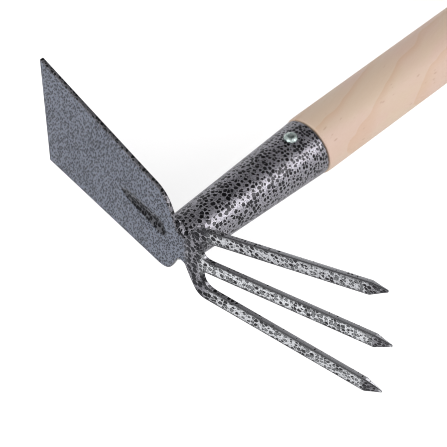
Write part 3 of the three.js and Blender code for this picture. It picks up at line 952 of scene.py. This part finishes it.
def plain_wood():
    """Sanded, unvarnished hardwood: slanting growth rings, pink and cream patches, a few dark flecks."""
    n = Nodes("sanded_wood")
    slant = n.mapped(n.coords, Rotation=(0.0, -0.16, -0.27))
    ring_inputs = {"Vector": n.wander(slant, 14, 0.012), "Scale": 23.0, "Distortion": 1.8,
                   "Detail": 3.0, "Detail Scale": 1.2, "Detail Roughness": 0.6}
    rings = n.make("ShaderNodeTexWave", ring_inputs, wave_type="BANDS", bands_direction="Y",
                   wave_profile="SAW").outputs["Fac"]
    fibre = n.noise(n.mapped(slant, Scale=(60, 1500, 1500)), 1.0, 3.0, 0.6).outputs["Fac"]
    flecks = spots(n, n.mapped(slant, Scale=(120, 640, 640)), 1.0, -2.0, 0.26, 0.06)
    patch = n.noise(n.mapped(slant, Scale=(22, 60, 60)), 1.0, 2.0).outputs["Fac"]
    tone = n.mix(n.smooth(patch, 0.38, 0.62), (0.47, 0.365, 0.275, 1), (0.475, 0.348, 0.28, 1))
    tone = n.mix(n.smooth(rings, 0.66, 1.0, 0.0, 0.5), tone, (0.44, 0.29, 0.19, 1))
    tone = n.mix(n.smooth(fibre, 0.35, 0.75, 0.0, 0.10), tone, (0.42, 0.29, 0.20, 1))
    tone = n.mix(n.math("MULTIPLY", flecks, 0.45), tone, (0.30, 0.19, 0.13, 1))
    height = n.math("MULTIPLY_ADD", flecks, -0.6, n.math("MULTIPLY", fibre, 0.6))
    bump = n.make("ShaderNodeBump", {"Height": height, "Strength": 0.25, "Distance": 0.0001})
    return n.finish(Base_Color=tone, Roughness=n.smooth(fibre, 0.3, 0.8, 0.5, 0.64), Normal=bump.outputs[0])


def zinc_steel():
    """Dull zinc plate on the rivet, with the facets and pits left by its forming."""
    n = Nodes("zinc_steel")
    marks = n.noise(n.coords, 700, 3.0, 0.6).outputs["Fac"]
    tone = n.mix(n.smooth(marks, 0.35, 0.65), (0.20, 0.255, 0.24, 1), (0.39, 0.445, 0.435, 1))
    bump = n.make("ShaderNodeBump", {"Height": marks, "Strength": 0.7, "Distance": 0.00035})
    return n.finish(Base_Color=tone, Metallic=1.0, Roughness=n.smooth(marks, 0.3, 0.7, 0.2, 0.36),
                    Normal=bump.outputs[0])


enamel, wood, zinc = hammered_enamel(), plain_wood(), zinc_steel()

points, faces, finish, lay = head_mesh()
add_piece("head_plate", points, faces, "hoe_and_fork_head", enamel, 50,
          head_finish(finish), lay)
points, faces = socket_mesh()
socket = add_piece("rolled_socket", points, faces, "socket", enamel,
                   lay=wrap_lay(points, faces))
drill(socket, RIVET_SHANK + BORE_CLEARANCE)
points, faces = seam_bead_mesh()
add_piece("seam_bead", points, faces, "socket_seam_weld", enamel, 50,
          lay=wrap_lay(points, faces))
points, faces, lay = neck_bead_mesh()
# Painted shade over the whole neck weld, down in the crevice between socket and plate.
add_piece("neck_bead", points, faces, "neck_weld", enamel, 50,
          {"painted_shade_and_wear": [0.7] * len(points)}, lay)
points, faces = handle_mesh()
handle = add_piece("turned_handle", points, faces, "handle", wood)
drill(handle, RIVET_SHANK + BORE_CLEARANCE)
points, faces = rivet_mesh()
add_piece("dome_rivet", points, faces, "rivet", zinc, 50)


# ---- Camera, at the photograph's viewing angle ----
EYE = (-443.3, -492.0, 732.0)
LOOK = (0.4691, 0.4878, -0.7362)
RIGHT = (0.7115, -0.7026, -0.0122)
camera_data = bpy.data.cameras.new("camera")
camera_data.sensor_width = 36
camera_data.lens = 170.93
camera_data.clip_start, camera_data.clip_end = 0.05, 20
camera = bpy.data.objects.new("camera", camera_data)
bpy.context.scene.collection.objects.link(camera)
look = (TURN @ Vector(LOOK)).normalized()
right = TURN @ Vector(RIGHT)
right = (right - look * right.dot(look)).normalized()
facing = Matrix((right, right.cross(look), -look)).transposed()
camera.matrix_world = Matrix.Translation(TOOL @ Vector(EYE)) @ facing.to_4x4()
bpy.context.scene.camera = camera


# ---- Floor and soft studio light ----
def floor_piece():
    """A plain pale floor just under the tool, with a little light of its own."""
    half = 4.0
    mesh = bpy.data.meshes.new("floor")
    level = cad_low.z - 0.0002
    corners = [(-half, -half, level), (half, -half, level), (half, half, level), (-half, half, level)]
    mesh.from_pydata(corners, [], [(0, 1, 2, 3)])
    pale = Nodes("floor").finish(Base_Color=(0.36, 0.36, 0.36, 1), Roughness=0.9,
                                 Emission_Color=(1, 1, 1, 1), Emission_Strength=0.74)
    mesh.materials.append(pale)
    floor = bpy.data.objects.new("floor", mesh)
    bpy.context.scene.collection.objects.link(floor)


def softbox(name, direction, size, radiance, distance=1.3, tint=(1, 1, 1)):
    """A square area light that looks at the head from a direction in the tool's axes."""
    data = bpy.data.lights.new(name, "AREA")
    data.shape = "SQUARE"
    data.size = size
    data.energy = radiance * math.pi * size * size
    data.color = tint
    light = bpy.data.objects.new(name, data)
    bpy.context.scene.collection.objects.link(light)
    way = (TURN @ Vector(direction)).normalized()
    aim = TOOL @ Vector((30, 0, 0))
    light.location = aim + way * distance
    light.rotation_mode = "QUATERNION"
    light.rotation_quaternion = way.to_track_quat("Z", "Y")


DARK_GAP = (0.469, 0.085, 0.878)      # direction of the gap between the lights, in the tool's axes


def sky():
    """Even white studio walls, with a gap in the lights that the metal mirrors as a dark band."""
    world = bpy.data.worlds.new("studio")
    bpy.context.scene.world = world
    world.use_nodes = True
    tree = world.node_tree
    background = tree.nodes["Background"]
    coords = tree.nodes.new("ShaderNodeTexCoord").outputs["Generated"]
    gap_way = tree.nodes.new("ShaderNodeVectorMath")
    gap_way.operation = "DOT_PRODUCT"
    tree.links.new(coords, gap_way.inputs[0])
    gap_way.inputs[1].default_value = (TURN @ Vector(DARK_GAP)).normalized()
    fade = tree.nodes.new("ShaderNodeMapRange")
    fade.interpolation_type = "SMOOTHSTEP"
    tree.links.new(gap_way.outputs["Value"], fade.inputs["Value"])
    for key, value in (("From Min", 0.4), ("From Max", 0.95), ("To Min", 1.3), ("To Max", 0.24)):
        fade.inputs[key].default_value = value
    tree.links.new(fade.outputs[0], background.inputs["Strength"])
    background.inputs["Color"].default_value = (1.0, 0.99, 1.0, 1)


floor_piece()
sky()
softbox("key", (0.41, -0.75, 0.50), 0.64, 5.5, tint=(1.0, 0.97, 0.99))
softbox("side", (-0.87, -0.08, 0.50), 0.6, 4.4)
bpy.context.scene.view_settings.view_transform = "Standard"
bpy.context.scene.cycles.filter_width = 1.0
